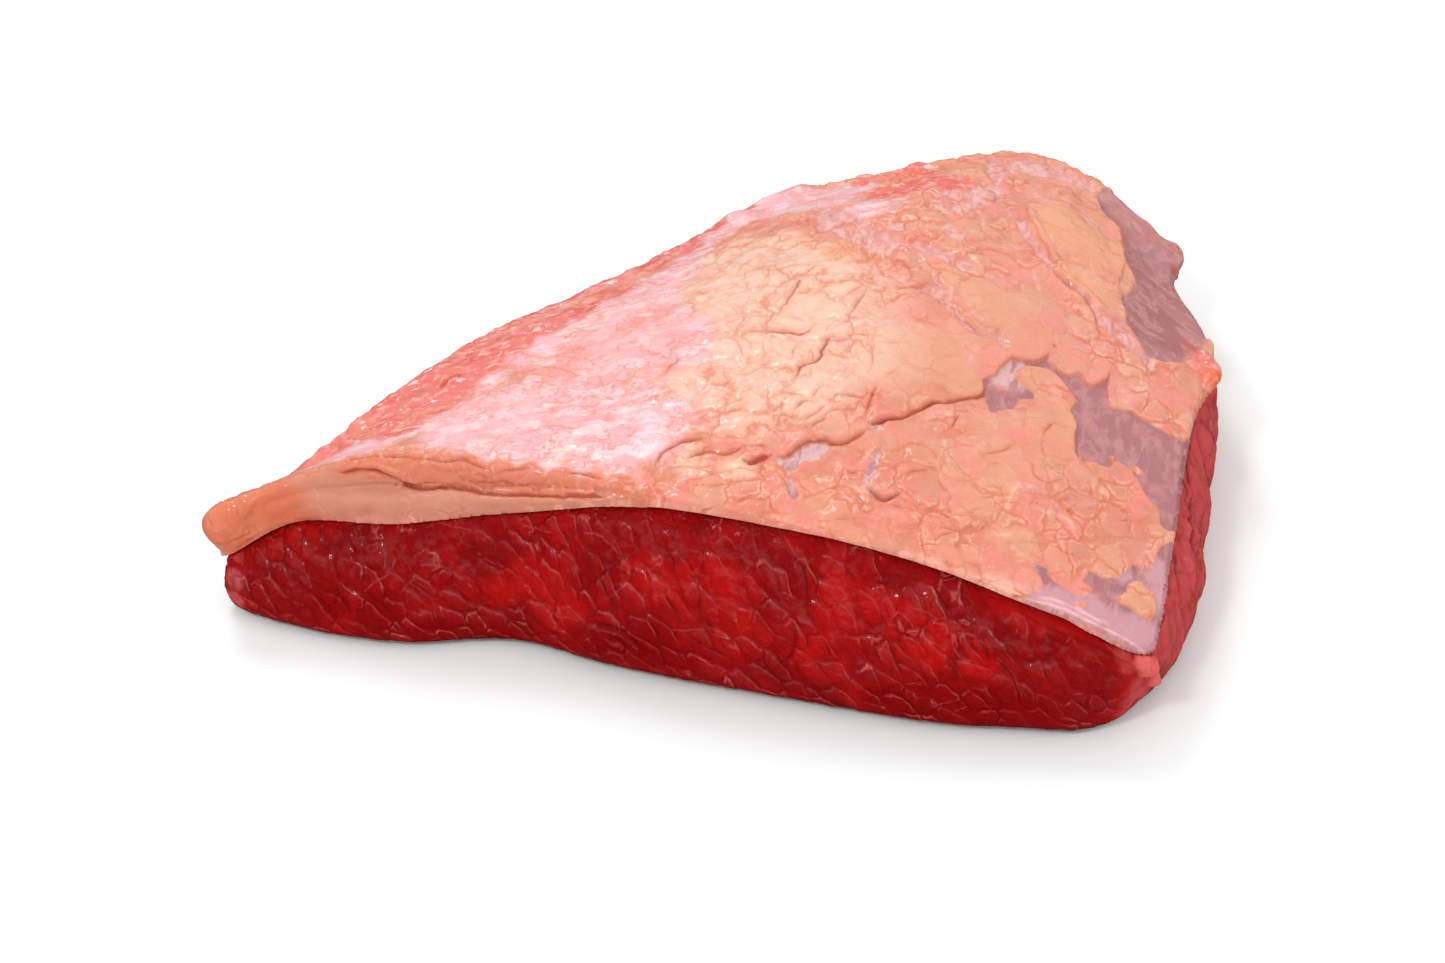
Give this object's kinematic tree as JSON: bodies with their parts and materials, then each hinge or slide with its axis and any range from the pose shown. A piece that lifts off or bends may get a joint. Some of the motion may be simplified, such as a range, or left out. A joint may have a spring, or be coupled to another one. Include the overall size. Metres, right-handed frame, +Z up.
{
  "type": "raw picanha",
  "caption": "Triangular raw beef rump cap with a deep red lean muscle under a wrinkled cream fat cap, lying on its flat cut underside.",
  "frame": {"origin": "on the table, under the middle of the piece's box", "axes": "+X along the long cut front face towards the thick heel, +Y towards the back, +Z up"},
  "size_m": [0.2474, 0.2134, 0.0615],
  "materials": {
    "lean": "moist deep red muscle with a visible grain",
    "fat": "moist cream to peach fat, wrinkled and cracked into lobes"
  },
  "bodies": {
    "root": {"lean_muscle": "lean", "fat_cap": "fat"}
  },
  "joints": []
}
